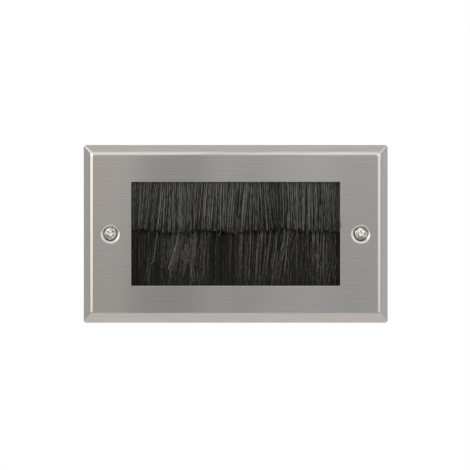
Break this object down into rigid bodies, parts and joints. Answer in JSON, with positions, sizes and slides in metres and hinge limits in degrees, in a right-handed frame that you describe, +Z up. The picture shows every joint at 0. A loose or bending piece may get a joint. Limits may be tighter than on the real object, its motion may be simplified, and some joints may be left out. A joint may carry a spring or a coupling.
{
  "type": "brush wall plate",
  "caption": "Bevelled brushed-steel wall plate with a wide window closed by overlapping black brush strips that cables pass through, and countersunk box screws.",
  "frame": {"origin": "middle of the plate on the wall plane, which is the plane of the rim that rests on the wall", "axes": "+Y points into the wall, +X runs along the plate to the right as seen from the room, +Z is up; the front face looks along -Y"},
  "size_m": [0.147, 0.0259, 0.086],
  "materials": {
    "plate_steel": "fine horizontal brushing",
    "frame_plastic": "fine moulded grain",
    "channel_metal": "mill finish, folded",
    "wire_steel": "drawn wire",
    "bristle_nylon": "fine filament, slight sheen",
    "screw_nickel": "bright nickel plate",
    "stud_steel": "plain stainless",
    "zinc_plate": "clear zinc plate"
  },
  "bodies": {
    "root": {"faceplate": "plate_steel", "brush_frame": "frame_plastic", "upper_clamp_bar": "frame_plastic", "lower_clamp_bar": "frame_plastic", "upper_brush_channel": "channel_metal", "lower_brush_channel": "channel_metal", "upper_core_wire": "wire_steel", "lower_core_wire": "wire_steel", "upper_bristles": "bristle_nylon", "lower_bristles": "bristle_nylon", "left_box_screw": "screw_nickel", "right_box_screw": "screw_nickel", "weld_stud_1": "stud_steel", "stud_washer_1": "zinc_plate", "stud_nut_1": "zinc_plate", "weld_stud_2": "stud_steel", "stud_washer_2": "zinc_plate", "stud_nut_2": "zinc_plate", "weld_stud_3": "stud_steel", "stud_washer_3": "zinc_plate", "stud_nut_3": "zinc_plate", "weld_stud_4": "stud_steel", "stud_washer_4": "zinc_plate", "stud_nut_4": "zinc_plate"}
  },
  "joints": []
}
